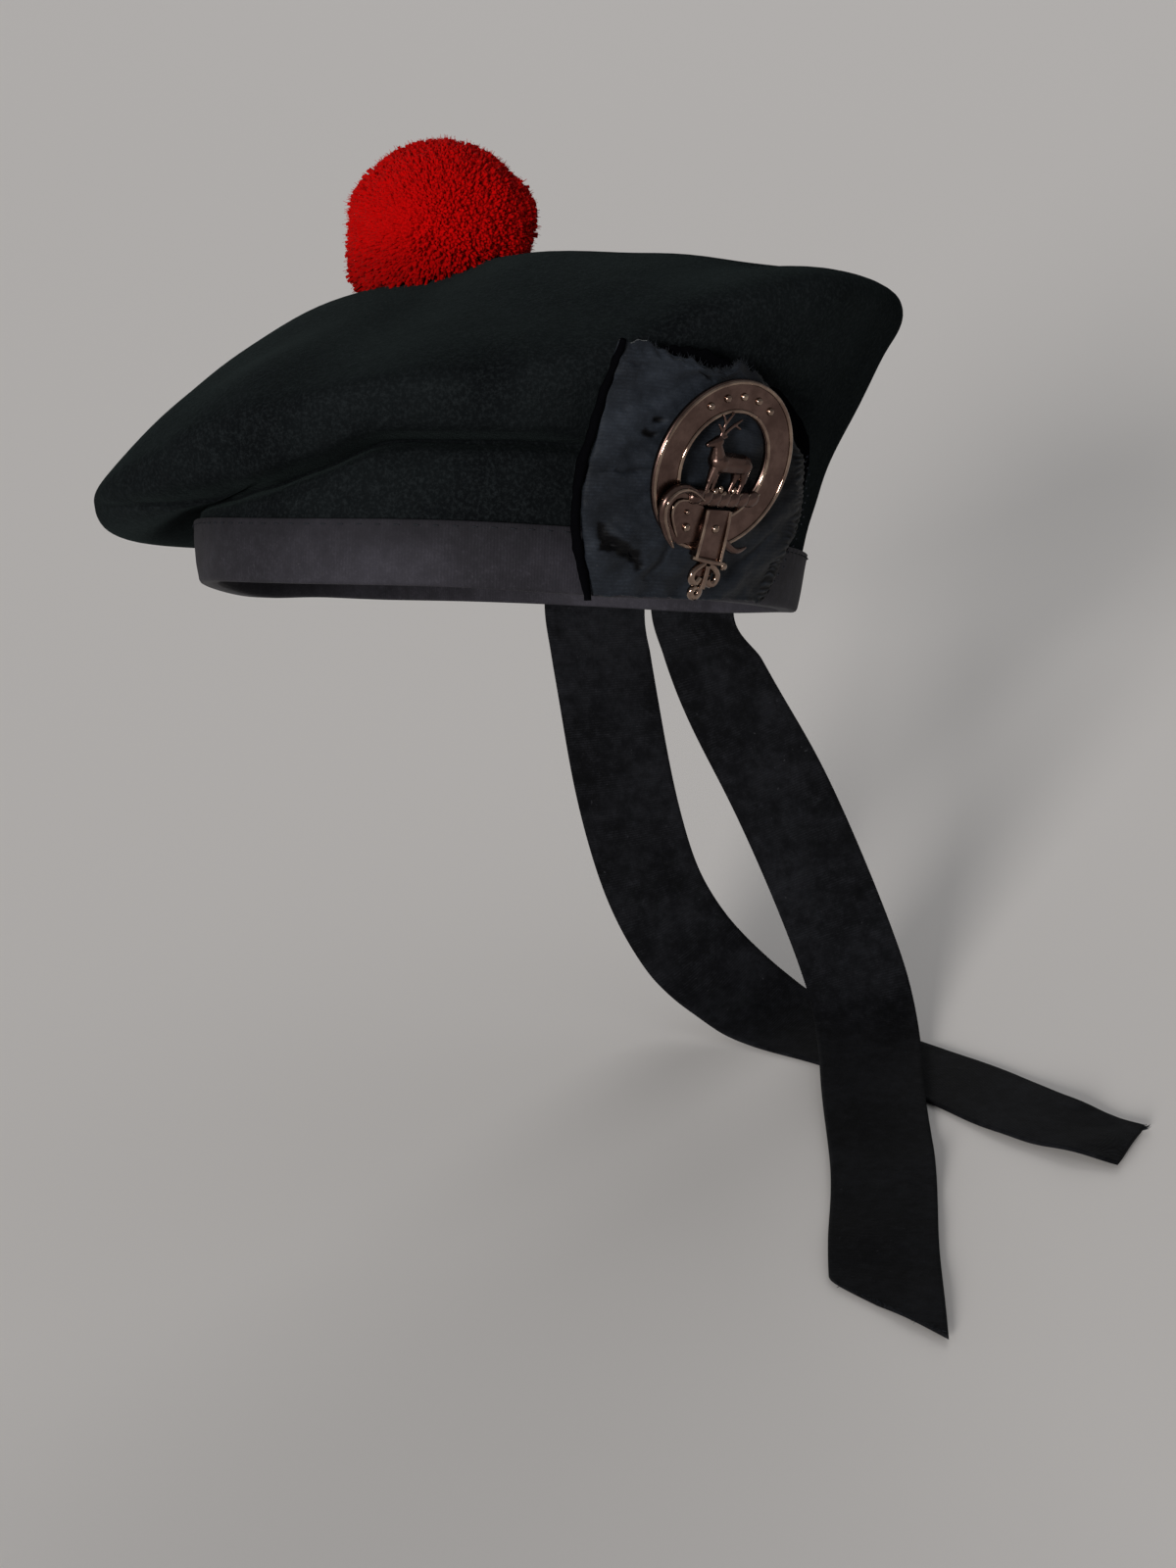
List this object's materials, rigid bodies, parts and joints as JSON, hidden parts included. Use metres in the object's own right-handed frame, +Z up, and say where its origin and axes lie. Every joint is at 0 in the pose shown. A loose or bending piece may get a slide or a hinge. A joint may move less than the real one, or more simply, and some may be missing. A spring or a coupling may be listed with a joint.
{
  "type": "balmoral bonnet",
  "caption": "Felted wool bonnet with a ribbon binding, drooping crown, red pompom, gathered side cockade with a strap-and-buckle deer badge, and two long ribbon tails.",
  "frame": {"origin": "middle of the mouth where the head goes in, in the plane of the binding's lower edge at the front", "axes": "+Z up as worn, -Y the wearer's front, +X the wearer's left, where the cockade is; the mouth leans back 16 degrees about X with its front edge up"},
  "size_m": [0.2837, 0.2171, 0.2929],
  "materials": {
    "felt": "milled wool felt, black with a green cast, soft nap",
    "ribbon": "black ribbed ribbon, slight sheen",
    "cockade_ribbon": "dark navy ribbon, creased and gathered",
    "yarn": "bright red cut wool yarn",
    "bronze": "cast metal with a brown antique finish, bright on its raised lines"
  },
  "bodies": {
    "root": {"crown": "felt", "headband": "ribbon", "toorie": "yarn", "cockade": "cockade_ribbon", "crest_badge": "bronze", "badge_pin": "bronze", "left_tail": "ribbon", "right_tail": "ribbon"}
  },
  "joints": []
}
